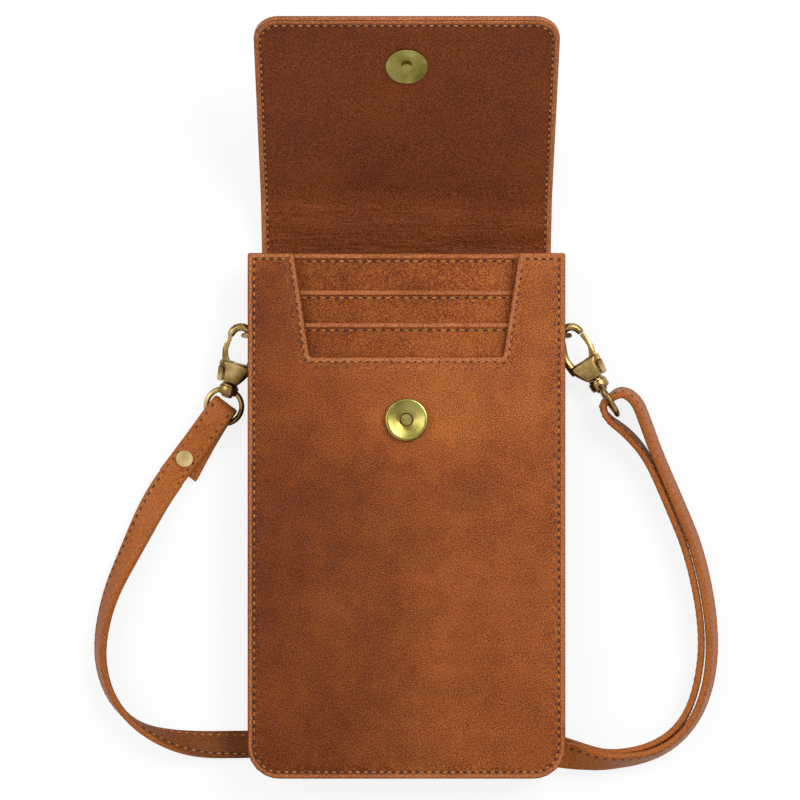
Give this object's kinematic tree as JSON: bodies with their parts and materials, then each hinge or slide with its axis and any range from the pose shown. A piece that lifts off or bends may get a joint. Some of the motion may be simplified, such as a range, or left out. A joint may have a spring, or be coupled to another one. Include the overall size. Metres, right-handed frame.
{
  "type": "phone pouch",
  "caption": "Flat leather phone pouch with a folding flap, magnetic snap, stepped card pockets and a leather strap clipped to side rings by swivel clasps.",
  "frame": {"origin": "middle of the body's height and width, on the flat resting face of the back panel", "axes": "+X to the pouch's right, +Y towards the flap, +Z out of the front"},
  "size_m": [0.2201, 0.2591, 0.0632],
  "materials": {
    "leather": "waxed",
    "leather_strap": "satin",
    "lining": "matte",
    "antique_brass": "antique",
    "steel": "satin",
    "magnet": "matte"
  },
  "bodies": {
    "pouch": {"front_panel": "leather", "back_panel": "leather", "gusset": "leather", "back_lining": "lining", "front_lining": "lining", "pocket_backing": "lining", "card_pocket_upper": "leather", "card_pocket_lower": "leather", "snap_socket_cap": "antique_brass", "snap_magnet": "magnet", "snap_socket_rivet": "antique_brass", "snap_socket_washer": "steel", "d_ring_tab_left": "leather", "d_ring_tab_right": "leather", "strap": "leather_strap", "strap_return": "leather_strap", "strap_end_fold": "leather_strap", "strap_rivet": "antique_brass", "strap_stud": "antique_brass", "swivel_eye_left": "antique_brass", "swivel_eye_right": "antique_brass"},
    "flap_fold": {"fold_outer": "leather", "fold_lining": "lining"},
    "flap": {"flap_outer": "leather", "flap_lining": "lining", "snap_stud_plate": "antique_brass", "snap_stud_washer": "steel"},
    "d_ring_left": {"d_ring_left": "antique_brass"},
    "clasp_left": {"clasp_body_left": "antique_brass", "swivel_pin_left": "antique_brass", "gate_pin_left": "antique_brass", "gate_spring_left": "steel"},
    "gate_left": {"clasp_gate_left": "antique_brass"},
    "d_ring_right": {"d_ring_right": "antique_brass"},
    "clasp_right": {"clasp_body_right": "antique_brass", "swivel_pin_right": "antique_brass", "gate_pin_right": "antique_brass", "gate_spring_right": "steel"},
    "gate_right": {"clasp_gate_right": "antique_brass"}
  },
  "joints": [
    {"name": "fold_turn", "type": "hinge", "parent": "pouch", "child": "flap_fold", "pos_m": [0, 0.092, 0.0026], "axis": [1, 0, 0], "range_deg": [-22, 68]},
    {"name": "flap_turn", "type": "hinge", "parent": "flap_fold", "child": "flap", "pos_m": [0, 0.10971, 0.00975], "axis": [1, 0, 0], "range_deg": [-22, 68]},
    {"name": "d_ring_left_swing", "type": "hinge", "parent": "pouch", "child": "d_ring_left", "pos_m": [-0.0493, 0.0626, 0.009], "axis": [0, 0, 1], "range_deg": [-1, 8]},
    {"name": "clasp_left_swivel", "type": "hinge", "parent": "pouch", "child": "clasp_left", "pos_m": [-0.06225, 0.04418, 0.00562], "axis": [0.2648, 0.9485, 0.1737], "range_deg": [-12, 12]},
    {"name": "gate_left_turn", "type": "hinge", "parent": "clasp_left", "child": "gate_left", "pos_m": [-0.06304, 0.05248, 0.00699], "axis": [0.0467, 0.1672, -0.9848], "range_deg": [0, 20], "stiffness_Nm_per_rad": 0.006, "springref_deg": -17.19},
    {"name": "d_ring_right_swing", "type": "hinge", "parent": "pouch", "child": "d_ring_right", "pos_m": [0.0493, 0.0626, 0.009], "axis": [0, 0, -1], "range_deg": [-1, 8]},
    {"name": "clasp_right_swivel", "type": "hinge", "parent": "pouch", "child": "clasp_right", "pos_m": [0.06703, 0.04598, 0.00781], "axis": [-0.5289, 0.8465, 0.061], "range_deg": [-12, 12]},
    {"name": "gate_right_turn", "type": "hinge", "parent": "clasp_right", "child": "gate_right", "pos_m": [0.0654, 0.05425, 0.00829], "axis": [0.0324, -0.0518, 0.9981], "range_deg": [0, 20], "stiffness_Nm_per_rad": 0.006, "springref_deg": -17.19}
  ]
}
